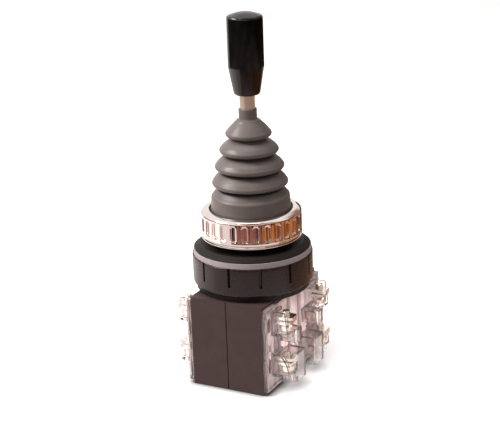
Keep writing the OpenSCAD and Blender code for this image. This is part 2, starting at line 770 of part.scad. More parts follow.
// The shelf below a terminal's screw, with a sleeve that guides a screwdriver
module guard_shelf(z) {
    top = shelf_z(z);
    box([cover_x - 0.1, guard_y - 0.1, top - guard_wall], [side_x, side_y + side_t, top]);
    translate([screw_x, terminal_y, top - guard_wall - sleeve_h])
        cylinder(sleeve_h + guard_wall / 2, r = terminal_head_d / 2 - 0.1, $fn = small_fn);
}

// A slot with round ends, upright in the plane of the cover
module window(y, z) {
    straight = (window_l - window_w) / 2;
    translate([block_side - skirt_depth - cut, y, z]) rotate([90, 0, 90])
        linear_extrude(skirt_depth + cover_t + cover_rim_t + 2 * cut) {
            translate([-window_w / 2, -straight]) square([window_w, 2 * straight]);
            for (e = [-straight, straight]) translate([0, e]) circle(window_w / 2, $fn = small_fn);
        }
}

module cover_skirt() {
    inner = block_side - skirt_depth;
    skirt_w = 0.9;
    difference() {
        box([inner, -wall_y + rim_gap, floor_z + rim_gap],
            [block_side + 0.1, wall_y - rim_gap, flange_z - block_wall - rim_gap]);
        mirror_pair() box(
            [inner - cut, cell_y + skirt_w, floor_z + skirt_w],
            [block_side, wall_y - skirt_w, flange_z - block_wall - skirt_w]);
        box([inner - cut, -cell_y - rim_gap, floor_z], [block_side, cell_y + rim_gap, flange_z]);
    }
}

module block_cover() {
    rim_top = cover_x + cover_rim_t;
    rib_w = 0.8;
    lintel_z = 0.7;
    lintel_h = 1;
    edge_y = wall_y - 1.6;
    upper_crown = [[side_x - 1.1, upper_z + 1.9], [side_x, shelf_z(upper_z)]];
    crown_h = head_foot + shelf_gap + 2.2;
    lower_crown = [for (t = [15:15:90])
        [cover_x + (side_x - cover_x) * sin(t), shelf_z(lower_z) + crown_h * cos(t)]];
    color([0.86, 0.82, 0.84, 0.45]) difference() {
        union() {
            box([block_side, -block_l / 2, cover_z0], [cover_x, block_l / 2, cover_z1]);
            difference() {
                box([cover_x - 0.1, -block_l / 2, cover_z0], [rim_top, block_l / 2, cover_z1]);
                box([cover_x - 0.2, -block_l / 2 + cover_rim_w, cover_z0 + cover_rim_w],
                    [rim_top + cut, block_l / 2 - cover_rim_w, cover_z1 - cover_rim_w]);
            }
            cover_skirt();
            mirror_pair() {
                box([cover_x - 0.1, 4, cover_z0], [cover_x + cover_rib_t, 4 + rib_w, cover_z1]);
                // Two short ribs from the upper shelf down to the lower terminal
                for (y = [terminal_y0 + rib_w, terminal_y1 - 2 * rib_w])
                    box([cover_x - 0.1, y, lower_z + lintel_z],
                        [cover_x + cover_rib_t, y + rib_w, shelf_z(upper_z) - guard_wall + 0.1]);
                guard_box(upper_guard_w, shelf_z(upper_z) - upper_guard_h, shelf_z(upper_z));
                guard_box(lower_guard_w, shelf_z(lower_z) - sleeve_h - 2.9, lower_z - 0.2);
                guard_side(upper_z, upper_crown);
                guard_side(lower_z, lower_crown);
                for (z = TERMINAL_Z) {
                    guard_shelf(z);
                    box([cover_x - 0.1, terminal_y0 - rib_w, z + lintel_z],
                        [cover_x + 1.2, side_y + side_t, z + lintel_z + lintel_h]);
                }
            }
        }
        mirror_pair() {
            for (z = TERMINAL_Z) {
                box([block_side - skirt_depth - cut, terminal_y0 - 0.2, z - strip_t - 0.2],
                    [cover_x + cut, terminal_y1 + 0.2, z + 0.2]);
                translate([screw_x, terminal_y, shelf_z(z) - guard_wall - sleeve_h - cut])
                    cylinder(guard_wall + sleeve_h + 2 * cut, r = terminal_head_d / 2 - 0.9, $fn = small_fn);
                window(edge_y, z - 3.2);
            }
            // The latch between the two windows
            box([cover_x - 0.6, edge_y - 0.9, lower_z + 2.6], [rim_top + cut, edge_y + 0.9, lower_z + 5.4]);
        }
    }
}

module left_block_cover() at_side(-1) block_cover();
module right_block_cover() at_side(1) block_cover();

module block_screws() {
    head_r = block_screw_d / 2 + 0.85;
    color([0.75, 0.75, 0.77]) for (side = [-1, 1]) at_side(side) block_screw_places() difference() {
        union() {
            translate([0, 0, block_z + 0.4]) cylinder(2, r = head_r, $fn = small_fn);
            translate([0, 0, block_z + 1])
                cylinder(block_h + flange_t - 1.5, r = block_screw_d / 2, $fn = small_fn);
        }
        box([-head_r - cut, -0.3, block_z], [head_r + cut, 0.3, block_z + 1.3]);
    }
}

// The flat of a terminal from "x0" outwards, with its outer corners cut and a hole for its screw
module terminal_flat(x0, z) {
    difference() {
        translate([0, 0, z - strip_t]) linear_extrude(strip_t) polygon([
            [x0, terminal_y0], [strip_reach - terminal_corner, terminal_y0],
            [strip_reach, terminal_y0 + terminal_corner], [strip_reach, terminal_y1 - terminal_corner],
            [strip_reach - terminal_corner, terminal_y1], [x0, terminal_y1]
        ]);
        translate([screw_x, terminal_y, z - strip_t - cut])
            cylinder(strip_t + 2 * cut, r = terminal_screw_d / 2 + seat_gap, $fn = small_fn);
    }
}

// The upper terminal's strip runs in, down and under one end of the contact bridge.
module upper_strip() {
    tip_y = pin_offset + tip_offset;
    terminal_flat(leg_x, upper_z);
    box([leg_x, tip_y - tip_pad, fixed_z - strip_t], [leg_x + strip_t, terminal_y - 1, upper_z]);
    box([pin_offset - tip_pad, tip_y - tip_pad, fixed_z - strip_t],
        [leg_x + strip_t, tip_y + tip_pad, fixed_z]);
}

// The lower terminal's strip runs round the plunger and up under the bridge's other end.
module lower_strip() {
    tip_y = pin_offset - tip_offset;
    foot_y = cell_y + 0.2;
    riser_x = pin_offset + tip_pad;
    terminal_flat(arm_x, lower_z);
    box([arm_x, foot_y, lower_z - strip_t], [arm_x + arm_w, terminal_y0 + cut, lower_z]);
    box([riser_x, foot_y, lower_z - strip_t], [arm_x + arm_w, tip_y + tip_pad, lower_z]);
    box([riser_x, foot_y, lower_z - strip_t], [riser_x + strip_t, tip_y + tip_pad, fixed_z]);
    box([pin_offset - tip_pad, foot_y, fixed_z - strip_t], [riser_x + strip_t, tip_y + tip_pad, fixed_z]);
}

module terminal_strips() {
    color([0.80, 0.76, 0.66]) mirror_pair() {
        upper_strip();
        lower_strip();
    }
}

module left_terminal_strips() at_side(-1) terminal_strips();
module right_terminal_strips() at_side(1) terminal_strips();

module fixed_contact_tips() {
    color([0.88, 0.88, 0.86]) for (s = SET_SIDES, e = [-1, 1])
        translate([s[0] * pin_offset, s[1] * (pin_offset + e * tip_offset), fixed_z])
            cylinder(tip_h, r = tip_d / 2, $fn = small_fn);
}

module terminal_places() {
    for (side = [-1, 1]) at_side(side) mirror_pair() for (z = TERMINAL_Z)
        translate([screw_x, terminal_y, z]) children();
}

module clamp_washers() {
    top = -strip_t - wire_gap;
    clamp_bevel = 0.4;
    color([0.84, 0.80, 0.72]) terminal_places() difference() {
        translate([0, terminal_w / 2, 0]) rotate([90, 0, 0]) linear_extrude(terminal_w) polygon([
            [-clamp_l / 2, top], [clamp_l / 2, top], [clamp_l / 2, top - clamp_t + clamp_bevel],
            [clamp_l / 2 - clamp_bevel, top - clamp_t], [clamp_bevel - clamp_l / 2, top - clamp_t],
            [-clamp_l / 2, top - clamp_t + clamp_bevel]
        ]);
        translate([0, 0, top - clamp_t - cut])
            cylinder(clamp_t + 2 * cut, r = terminal_screw_d / 2 + 0.15, $fn = small_fn);
    }
}

module terminal_screws() {
    head_top = -strip_t - wire_gap - clamp_t;
    slot_l = terminal_head_d / 2 - 0.7;
    slot_w = 0.9;
    slot_depth = 1.2;
    color([0.86, 0.84, 0.80]) terminal_places() difference() {
        union() {
            translate([0, 0, head_top - terminal_head_h])
                cylinder(terminal_head_h, r = terminal_head_d / 2, $fn = small_fn);
            translate([0, 0, head_top - 0.5])
                cylinder(screw_end - head_top + 0.5, r = terminal_screw_d / 2, $fn = small_fn);
        }
        for (a = [0, 90]) rotate(a)
            box([-slot_l, -slot_w / 2, head_top - terminal_head_h - cut],
                [slot_l, slot_w / 2, head_top - terminal_head_h + slot_depth]);
    }
}

// ---------- contact sets ----------

module at_set(s) {
    translate([s[0] * pin_offset, s[1] * pin_offset, 0]) children();
}

module pin(s) {
    color([0.90, 0.88, 0.84]) at_set(s) {
        translate([0, 0, plunger_top]) cylinder(pin_top - pin_r - plunger_top, r = pin_r, $fn = small_fn);
        intersection() {
            translate([0, 0, pin_top - pin_r]) sphere(pin_r, $fn = small_fn);
            translate([0, 0, pin_top - pin_r]) cylinder(pin_r + cut, r = pin_r + cut);
        }
    }
}

module plunger(s) {
    slot_w = bridge_w + 0.4;
    color([0.78, 0.30, 0.22]) at_set(s) {
        difference() {
            box([-plunger_w / 2, -plunger_t / 2, plunger_z], [plunger_w / 2, plunger_t / 2, plunger_top]);
            box([-slot_w / 2, -plunger_t / 2 - cut, bridge_z], [slot_w / 2, plunger_t / 2 + cut, window_top]);
        }
        translate([0, 0, stem_z]) cylinder(plunger_z - stem_z, r = stem_d / 2, $fn = small_fn);
    }
}

module contact_bridge(s) {
    color([0.82, 0.66, 0.36]) at_set(s) {
        box([-bridge_w / 2, -bridge_half, bridge_z], [bridge_w / 2, bridge_half, bridge_z + bridge_t]);
        for (e = [-1, 1]) translate([0, e * tip_offset, tip_z])
            cylinder(tip_h, r = tip_d / 2, $fn = small_fn);
    }
}

module contact_spring(s) {
    color([0.72, 0.72, 0.74]) at_set(s)
        coil(contact_spring_d / 2, wire_d, bridge_z + bridge_t, window_top, contact_spring_turns);
}

module return_spring(s) {
    color([0.72, 0.72, 0.74]) at_set(s)
        coil(return_spring_d / 2, wire_d, floor_z, plunger_z, return_spring_turns);
}

barrel_housing();
pivot_carrier();
pin_guide();
sealing_washer();
flange_gasket();
locking_collar();
ring_nut();
boot();
left_block_housing();
right_block_housing();
left_block_cover();
right_block_cover();
block_screws();
left_terminal_strips();
right_terminal_strips();
fixed_contact_tips();
clamp_washers();
terminal_screws();
gimbal_ring();
outer_pivot_pins();
inner_pivot_pins();
lever_hub();
lever_shaft();
spider_plate();
hub_nut();
knob();
knob_insert();
for (i = [0:len(SETS) - 1]) {
    pin(SET_SIDES[i]);
    plunger(SET_SIDES[i]);
    contact_bridge(SET_SIDES[i]);
    contact_spring(SET_SIDES[i]);
    return_spring(SET_SIDES[i]);
}
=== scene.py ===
"""Looks of the panel joystick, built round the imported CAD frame. Metres, in the frame of the CAD model."""

import math

import bpy
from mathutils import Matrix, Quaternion, Vector


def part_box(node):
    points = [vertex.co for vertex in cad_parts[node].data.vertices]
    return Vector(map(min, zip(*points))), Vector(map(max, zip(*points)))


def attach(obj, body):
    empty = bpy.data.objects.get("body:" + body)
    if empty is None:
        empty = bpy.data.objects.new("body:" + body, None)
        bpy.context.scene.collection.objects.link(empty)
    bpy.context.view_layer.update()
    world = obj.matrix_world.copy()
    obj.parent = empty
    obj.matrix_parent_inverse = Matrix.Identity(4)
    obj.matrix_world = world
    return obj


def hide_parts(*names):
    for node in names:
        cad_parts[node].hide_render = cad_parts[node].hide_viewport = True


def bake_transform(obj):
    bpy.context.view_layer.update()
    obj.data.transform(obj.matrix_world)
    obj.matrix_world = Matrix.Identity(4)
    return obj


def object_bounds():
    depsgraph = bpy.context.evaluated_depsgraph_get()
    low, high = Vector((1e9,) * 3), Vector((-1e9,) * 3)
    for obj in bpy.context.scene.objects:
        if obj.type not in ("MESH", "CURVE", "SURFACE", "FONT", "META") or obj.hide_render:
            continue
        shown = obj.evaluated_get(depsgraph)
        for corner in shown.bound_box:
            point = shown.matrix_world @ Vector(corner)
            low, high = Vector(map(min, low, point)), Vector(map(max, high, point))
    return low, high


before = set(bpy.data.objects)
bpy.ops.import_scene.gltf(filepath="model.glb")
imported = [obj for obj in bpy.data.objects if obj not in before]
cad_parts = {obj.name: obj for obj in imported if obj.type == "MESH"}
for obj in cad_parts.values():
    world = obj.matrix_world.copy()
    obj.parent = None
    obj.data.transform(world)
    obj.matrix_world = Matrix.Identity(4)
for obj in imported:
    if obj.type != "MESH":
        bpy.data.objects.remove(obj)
cad_low, cad_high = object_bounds()

MM = 0.001
SETS = ("left_front", "right_front", "left_back", "right_back")
NECK_BORE_R = 15.05 * MM   # ring nut and locking collar round the barrel
CAMERA_AZIMUTH = 27.7      # degrees from -Y towards +X

# ---------- materials ----------


def srgb(red, green, blue):
    """A display colour, 0 to 255, as the linear colour that a shader takes."""
    def linear(value):
        share = value / 255
        return share / 12.92 if share <= 0.04045 else ((share + 0.055) / 1.055) ** 2.4
    return (linear(red), linear(green), linear(blue), 1.0)


PLATE_CLEAR = 0.15         # share of the light that goes through the covers' plates
GUARD_CLEAR = 0.96         # and through their guards
PLATE_SKIN = (16.3, 16.9)  # distances from the middle, in millimetres, between which plate turns into guard

END_SKIN = 0.3             # depth of a plate's clear end, millimetres
PAINTED_SHADE_OPENNESS = (0.1, 0.6)  # shares of open sky between which the painted shade in crevices fades away
FOOT_CLEAR = 0.7           # how much of the guards' clearness a plate has at its foot
FOOT_H = 12                # how far up that fades away, millimetres


class Finish:
    """One Principled material. Its patterns are measured in millimetres of the row frame."""

    def __init__(self, name, **sockets):
        self.material = bpy.data.materials.new(name)
        self.material.use_nodes = True
        self.nodes = self.material.node_tree.nodes
        self.links = self.material.node_tree.links
        self.shader = self.nodes["Principled BSDF"]
        for socket, value in sockets.items():
            self.shader.inputs[socket.replace("_", " ")].default_value = value
        self.place = self.nodes.new("ShaderNodeTexCoord").outputs["Object"]
        self.height = None

    def coords(self, stretch=(1, 1, 1)):
        """Coordinates in millimetres, squeezed along each axis by its stretch."""
        mapping = self.nodes.new("ShaderNodeMapping")
        mapping.inputs["Scale"].default_value = [1 / (MM * s) for s in stretch]
        self.links.new(self.place, mapping.inputs["Vector"])
        return mapping.outputs["Vector"]

    def noise(self, size, detail=3.0, stretch=(1, 1, 1), rough=0.5):
        """Cloudy noise whose blobs are about size millimetres across."""
        node = self.nodes.new("ShaderNodeTexNoise")
        node.inputs["Scale"].default_value = 1 / size
        node.inputs["Detail"].default_value = detail
        node.inputs["Roughness"].default_value = rough
        self.links.new(self.coords(stretch), node.inputs["Vector"])
        return node.outputs["Fac"]

    def cells(self, size, stretch=(1, 1, 1)):
        """Distance to the middle of the nearest cell, cells about size millimetres across."""
        node = self.nodes.new("ShaderNodeTexVoronoi")
        node.inputs["Scale"].default_value = 1 / size
        self.links.new(self.coords(stretch), node.inputs["Vector"])
        return node.outputs["Distance"]

    def spread(self, value, low, high, start=0.3, end=0.7):
        """value from start to end, spread from low to high."""
        node = self.nodes.new("ShaderNodeMapRange")
        node.inputs["From Min"].default_value = start
        node.inputs["From Max"].default_value = end
        node.inputs["To Min"].default_value = low
        node.inputs["To Max"].default_value = high
        self.links.new(value, node.inputs["Value"])
        return node.outputs["Result"]

    def math(self, operation, *values):
        """The result of one operation of the Math node on these values."""
        node = self.nodes.new("ShaderNodeMath")
        node.operation = operation
        for i, value in enumerate(values):
            self.links.new(value, node.inputs[i])
        return node.outputs[0]

    def tint(self, factor, first, second):
        """The base colour runs from first to second with factor; first None keeps the tint before."""
        node = self.nodes.new("ShaderNodeMix")
        node.data_type = "RGBA"
        if first:
            node.inputs["A"].default_value = first
        else:
            self.links.new(self.color, node.inputs["A"])
        node.inputs["B"].default_value = second
        self.links.new(factor, node.inputs["Factor"])
        self.color = node.outputs["Result"]
        self.links.new(self.color, self.shader.inputs["Base Color"])

    def paint_crevice_shade(self, reach, color):
        """Painted shade: the base colour runs to this darker one where something within reach millimetres
        shuts out the light.
        """
        node = self.nodes.new("ShaderNodeAmbientOcclusion")
        node.inputs["Distance"].default_value = reach * MM
        self.tint(self.spread(node.outputs["AO"], 1, 0, *PAINTED_SHADE_OPENNESS), None, color)

    def rough(self, value, low, high, start=0.3, end=0.7):
        self.links.new(self.spread(value, low, high, start, end), self.shader.inputs["Roughness"])

    def bump(self, value, depth, strength=1.0):
        """Adds relief depth millimetres high; each call adds to the one before."""
        node = self.nodes.new("ShaderNodeBump")
        node.inputs["Strength"].default_value = strength
        node.inputs["Distance"].default_value = depth * MM
        self.links.new(value, node.inputs["Height"])
        if self.height:
            self.links.new(self.height, node.inputs["Normal"])
        self.height = node.outputs["Normal"]
        self.links.new(self.height, self.shader.inputs["Normal"])


def knob_plastic():
    f = Finish("knob_plastic", IOR=1.55)
    f.tint(f.noise(3, 4), srgb(9, 9, 9), srgb(18, 15, 14))
    f.rough(f.noise(2.2, 5, (1, 1, 4)), 0.1, 0.22)
    f.bump(f.noise(5, 2), 0.05, 0.35)
    f.bump(f.cells(0.5), 0.01, 0.25)
    return f.material


def boot_rubber():
    f = Finish("boot_rubber", IOR=1.42, Sheen_Weight=0.08, Sheen_Roughness=0.45)
    f.tint(f.noise(4, 5), srgb(111, 102, 101), srgb(127, 117, 114))
    # painted shade: the rubber darkens to this colour in the folds' crevices, where little light reaches
    f.paint_crevice_shade(3, srgb(44, 37, 35))
    f.rough(f.noise(1.6, 4), 0.3, 0.44)
    f.bump(f.noise(0.35, 3), 0.05, 0.35)
    f.bump(f.noise(3, 2), 0.06, 0.3)
    return f.material


def gasket_rubber():
    f = Finish("gasket_rubber", IOR=1.42, Sheen_Weight=0.08)
    f.tint(f.noise(2.5, 4), srgb(184, 172, 176), srgb(202, 190, 193))
    f.rough(f.noise(1, 4), 0.45, 0.62)
    f.bump(f.noise(0.3, 3), 0.04, 0.4)
    return f.material


def washer_rubber():
    f = Finish("washer_rubber", IOR=1.3)
    f.tint(f.noise(3, 4), srgb(20, 15, 12), srgb(30, 24, 20))
    f.rough(f.noise(1.2, 4), 0.44, 0.6)
    f.bump(f.noise(0.3, 3), 0.04, 0.4)
    return f.material


def collar_plastic():
    f = Finish("collar_plastic", IOR=1.46)
    f.tint(f.noise(2.5, 4), srgb(35, 23, 22), srgb(50, 35, 33))
    f.rough(f.noise(0.9, 4), 0.2, 0.34)
    f.bump(f.cells(0.35), 0.012, 0.25)
    f.bump(f.noise(4, 2), 0.04, 0.3)
    return f.material


def neck_plastic():
    f = Finish("neck_plastic", IOR=1.35)
    f.tint(f.noise(2, 4), srgb(18, 14, 14), srgb(30, 24, 23))
    f.rough(f.noise(0.9, 4), 0.5, 0.65)
    f.bump(f.noise(0.3, 3), 0.03, 0.4)
    return f.material


def block_plastic():
    f = Finish("block_plastic", IOR=1.42)
    f.tint(f.noise(5, 5), srgb(72, 56, 56), srgb(86, 68, 67))
    # painted shade: the blocks darken to near black under the collar, in corners and between the blocks
    f.paint_crevice_shade(8, srgb(24, 17, 17))
    f.rough(f.noise(0.7, 4), 0.42, 0.6)
    f.bump(f.cells(0.3), 0.03, 0.35)
    f.bump(f.noise(7, 2), 0.06, 0.25)
    return f.material


def cover_clear():
    """Clear in the guards that stand out and in the plate's ends, milky where the plate lies on the block."""
    f = Finish("cover_clear", IOR=1.49, Coat_Weight=0.5, Coat_Roughness=0.05)
    streaks = f.spread(f.noise(2.4, 4, (1, 1, 5)), 0, 1, 0.34, 0.62)
    f.tint(streaks, srgb(186, 160, 164), srgb(255, 240, 238))
    apart = f.nodes.new("ShaderNodeSeparateXYZ")
    f.links.new(f.coords(), apart.inputs[0])
    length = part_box("right_block_cover")[1].y / MM
    guard = f.spread(f.math("ABSOLUTE", apart.outputs["X"]), 0, 1, *PLATE_SKIN)
    end = f.spread(f.math("ABSOLUTE", apart.outputs["Y"]), 0, 1, length - END_SKIN, length - END_SKIN / 2)
    clear = f.math("MAXIMUM", guard, end)
    f.tint(clear, None, srgb(255, 249, 248))
    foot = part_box("right_block_cover")[0].z / MM
    low = f.spread(apart.outputs["Z"], FOOT_CLEAR, 0, foot, foot + FOOT_H)
    clear = f.math("MAXIMUM", clear, low)
    f.links.new(f.spread(clear, PLATE_CLEAR, GUARD_CLEAR, 0, 1), f.shader.inputs["Transmission Weight"])
    f.rough(f.noise(1.5, 4), 0.03, 0.12)
    f.bump(f.noise(2.5, 3), 0.1, 0.4)
    return f.material


def metal(name, first, second, low, high, grain, stretch=(1, 1, 1), depth=0.01):
    """A metal from first to second in colour, low to high in roughness, with a grain in millimetres."""
    f = Finish(name, Metallic=1.0)
    f.tint(f.noise(grain * 4, 3, stretch), first, second)
    f.rough(f.noise(grain, 5, stretch), low, high)
    f.bump(f.noise(grain, 3, stretch), depth, 0.4)
    return f.material


def plastic(name, first, second, low, high):
    """A plain moulded plastic for the inner pieces."""
    f = Finish(name, IOR=1.5)
    f.tint(f.noise(2, 4), first, second)
    f.rough(f.noise(0.8, 4), low, high)
    f.bump(f.noise(0.4, 3), 0.02, 0.4)
    return f.material


FINISHES = {
    "knob_plastic": knob_plastic(),
    "boot_rubber": boot_rubber(),
    "gasket_rubber": gasket_rubber(),
    "washer_rubber": washer_rubber(),
    "collar_plastic": collar_plastic(),
    "neck_plastic": neck_plastic(),
    "block_plastic": block_plastic(),
    "cover_clear": cover_clear(),
    "ring_chrome": metal("ring_chrome", srgb(232, 222, 218), srgb(244, 236, 232), 0.04, 0.1, 1.5),
    "shaft_steel": metal("shaft_steel", srgb(214, 194, 178), srgb(232, 216, 202), 0.28, 0.4, 0.25,
                         stretch=(1, 1, 12)),
    "insert_brass": metal("insert_brass", srgb(205, 165, 86), srgb(220, 184, 108), 0.2, 0.35, 0.4),
    "terminal_metal": metal("terminal_metal", srgb(252, 249, 244), srgb(255, 254, 251), 0.16, 0.32, 0.5),
    "screw_steel": metal("screw_steel", srgb(244, 236, 222), srgb(252, 247, 238), 0.14, 0.3, 0.4),
    "contact_silver": metal("contact_silver", srgb(226, 224, 220), srgb(238, 236, 232), 0.18, 0.3, 0.3),
    "contact_bronze": metal("contact_bronze", srgb(196, 150, 92), srgb(212, 170, 112), 0.2, 0.35, 0.5),
    "cast_zinc": metal("cast_zinc", srgb(168, 166, 164), srgb(188, 186, 184), 0.35, 0.5, 0.5, depth=0.03),
    "pin_steel": metal("pin_steel", srgb(204, 204, 206), srgb(222, 222, 224), 0.14, 0.24, 0.4),
    "spring_steel": metal("spring_steel", srgb(178, 178, 180), srgb(198, 198, 200), 0.2, 0.32, 0.3),
    "nylon": plastic("nylon", srgb(222, 216, 202), srgb(232, 228, 216), 0.4, 0.55),
    "plunger_plastic": plastic("plunger_plastic", srgb(176, 56, 40), srgb(190, 68, 50), 0.35, 0.5),
}


# ---------- mesh helpers ----------


def link(name, vertices, faces, slot):
    """A smooth mesh object with its finish, not yet riding on anything."""
    mesh = bpy.data.meshes.new(name)
    mesh.from_pydata(vertices, [], faces)
    mesh.materials.append(FINISHES[slot])
    mesh.validate()
    mesh.polygons.foreach_set("use_smooth", [True] * len(mesh.polygons))
    piece = bpy.data.objects.new(name, mesh)
    bpy.context.scene.collection.objects.link(piece)
    return piece


def grid_faces(rows, columns, first=0, close_rows=False):
    """Quads of a grid of vertices whose columns run round and meet; the rows can meet as well."""
    faces = []
    for r in range(rows if close_rows else rows - 1):
        a, b = first + r * columns, first + (r + 1) % rows * columns
        for c in range(columns):
            d = (c + 1) % columns
            faces.append((a + c, a + d, b + d, b + c))
    return faces


def lathe(profile, columns=192):
    """Vertices and faces of a closed profile of (radius, height) turned round Z."""
    vertices = []
    for radius, height in profile:
        for c in range(columns):
            turn = 2 * math.pi * c / columns
            vertices.append((radius * math.cos(turn), radius * math.sin(turn), height))
    return vertices, grid_faces(len(profile), columns, close_rows=True)


def carved(profile, count, start, offsets, depth):
    """A closed profile turned round Z with count equal cuts round its outside.

    offsets are arcs from the middle of a cut to the middle of the land beside it, and
    depth(arc, height) says how deep the outside is cut there."""
    outer = max(radius for radius, height in profile)
    arcs = [-arc for arc in offsets[:0:-1]] + list(offsets[:-1])
    turns = [start + 2 * math.pi * i / count + arc / outer for i in range(count) for arc in arcs]
    vertices = []
    for radius, height in profile:
        cuts = [min(radius, outer - depth(arc, height)) for arc in arcs] * count
        for cut, turn in zip(cuts, turns):
            vertices.append((cut * math.cos(turn), cut * math.sin(turn), height))
    return vertices, grid_faces(len(profile), len(turns), close_rows=True)


def smooth_path(points, steps):
    """Catmull-Rom points through a list of points, steps to each stretch."""
    ends = [points[0]] + list(points) + [points[-1]]
    path = []
    for i in range(1, len(ends) - 2):
        p0, p1, p2, p3 = (Vector(ends[i + k]) for k in (-1, 0, 1, 2))
        for s in range(steps):
            t = s / steps
            path.append(tuple(0.5 * (2 * p1 + (p2 - p0) * t + (2 * p0 - 5 * p1 + 4 * p2 - p3) * t * t
                                     + (3 * p1 - p0 - 3 * p2 + p3) * t ** 3)))
    return path + [tuple(points[-1])]


def between(first, last, steps):
    """steps points from first up to, but without, last."""
    return [tuple(a + (b - a) * i / steps for a, b in zip(first, last)) for i in range(steps)]


def eased(share):
    """0 to 1, level at both ends."""
    share = min(max(share, 0), 1)
    return share * share * (3 - 2 * share)


# ---------- boot ----------

FOLD_PITCH = 6.2 * MM
FOLDS = 3
FOLD_STEP = 0.53 * MM
FOLD_POWER = 1.77
FIRST_FOLD = 13.1 * MM     # from the boot's foot to its first crest
VALLEY_DROP = 1.6 * MM
VALLEY_SHARE = 0.75
LIP_DROP = 2.45 * MM       # where the groove under a crest opens
LIP_SHARE = 0.86
CREST_ROUND = 1.15 * MM
SHOULDER = 7.4 * MM        # from the boot's foot to the skirt's shoulder
SKIRT_DRAFT = 0.4 * MM
NECK_R = 3.4 * MM
CONE_TOP_R = 4.4 * MM
CONE_H = 5.3 * MM
CONE_SWELL = 0.45          # share of its radius that the cone has lost at half its height
BOOT_WALL = 0.55 * MM
NECK_GAP = 0.03 * MM       # between the neck and the lever shaft
SHOULDER_R = 2.0 * MM      # the skirt's rounded shoulder: how far in and how far up it goes
SHOULDER_H = 1.6 * MM
PATH_STEPS = 3             # to each stretch of an outline


def boot_levels():
    """Crests and valleys of the bellows as (radius, height), from the foot up."""
    low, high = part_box("boot")
    skirt_r = high.x - SKIRT_DRAFT
    crests, valleys = [], []
    for i in range(1, FOLDS + 2):
        radius = skirt_r - FOLD_STEP * i ** FOLD_POWER
        height = low.z + FIRST_FOLD + (i - 1) * FOLD_PITCH
        crests.append((radius, height))
        valleys.append((radius * VALLEY_SHARE, height - VALLEY_DROP))
    return crests, valleys


def fold_outline(valley, crest):
    """From a valley out along the nearly level underside and round the crest."""
    turns = [math.radians(a) for a in range(-90, 51, 14)]
    lobe = [(crest[0] - CREST_ROUND * (1 - math.cos(t)), crest[1] + CREST_ROUND * math.sin(t))
            for t in turns]
    under = lobe[0]
    rise = [(valley[0] + (under[0] - valley[0]) * across, valley[1] + (under[1] - valley[1]) * up)
            for across, up in ((0.04, 0.15), (0.3, 0.45), (0.7, 0.8))]
    return rise + lobe


def slope(start, crest):
    """From a fold's shoulder up its side to the lip, and into the narrow groove under the next crest."""
    lip = (crest[0] * LIP_SHARE, crest[1] - LIP_DROP)
    valley = (crest[0] * VALLEY_SHARE, crest[1] - VALLEY_DROP)
    points = []
    for across, up in ((0.2, 0.3), (0.5, 0.58), (0.78, 0.84), (1, 1)):
        points.append((start[0] + (lip[0] - start[0]) * across, start[1] + (lip[1] - start[1]) * up))
    return points + [(0.5 * (lip[0] + valley[0]), 0.6 * lip[1] + 0.4 * valley[1]), valley]


def boot_outline():
    """Outer outline of the boot as (radius, height), in a part below and a part above the split."""
    low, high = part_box("boot")
    crests, valleys = boot_levels()
    shoulder = low.z + SHOULDER
    top_r = high.x - SKIRT_DRAFT
    lower = [(high.x - 0.05 * MM, low.z), (high.x, low.z + 0.15 * MM), (high.x, low.z + 0.5 * MM),
             (top_r, shoulder - 0.3 * MM)]
    lower += [(top_r - SHOULDER_R * (1 - math.cos(t)), shoulder + SHOULDER_H * math.sin(t))
              for t in (0.12, 0.3, 0.5, 0.75, 1.0)]
    lower += slope(lower[-1], crests[0])
    first = fold_outline(valleys[0], crests[0])
    lower += first + slope(first[-1], crests[1])
    upper = [valleys[1]]
    for i in range(1, FOLDS):
        fold = fold_outline(valleys[i], crests[i])
        upper += fold + slope(fold[-1], crests[i + 1])
    cone_r, cone_z = crests[FOLDS]
    neck_z = cone_z + CONE_H
    upper += fold_outline(valleys[FOLDS], crests[FOLDS])
    upper += [(cone_r - CONE_SWELL * (cone_r - CONE_TOP_R), cone_z + 0.5 * CONE_H),
              (CONE_TOP_R + 0.35 * MM, neck_z - 0.65 * MM), (CONE_TOP_R, neck_z - 0.25 * MM),
              (NECK_R + 0.5 * MM, neck_z), (NECK_R + 0.1 * MM, neck_z + 0.2 * MM),
              (NECK_R, neck_z + 0.6 * MM), (NECK_R, high.z - 0.35 * MM),
              (NECK_R - 0.1 * MM, high.z - 0.08 * MM), (NECK_R - 0.3 * MM, high.z)]
    return lower, upper


def shell(outline, wall):
    """A closed profile: the outline, and back down its inside, wall thick."""
    inside = []
    for i, (radius, height) in enumerate(outline):
        before, after = outline[max(i - 1, 0)], outline[min(i + 1, len(outline) - 1)]
        along = Vector((after[0] - before[0], after[1] - before[1])).normalized()
        inside.append((radius - wall * max(along.y, 0.55), height + wall * 0.3 * along.x))
    return outline + inside[::-1]


def make_boot():
    """The boot in two pieces that meet in its second valley."""
    lower, upper = boot_outline()
    crests, valleys = boot_levels()
    shaft_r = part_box("lever_shaft")[1].x + NECK_GAP

    outline = lower[:3] + smooth_path(lower[3:], PATH_STEPS)
    piece = link("boot_skirt", *lathe(shell(outline, BOOT_WALL)), "boot_rubber")
    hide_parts("boot")
    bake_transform(piece)

    bellows = shell(smooth_path(upper, PATH_STEPS), BOOT_WALL)
    profile = [(max(radius, shaft_r), height) for radius, height in bellows]
    piece = link("boot_bellows", *lathe(profile), "boot_rubber")
    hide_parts("boot")
    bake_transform(piece)


# ---------- ring nut ----------

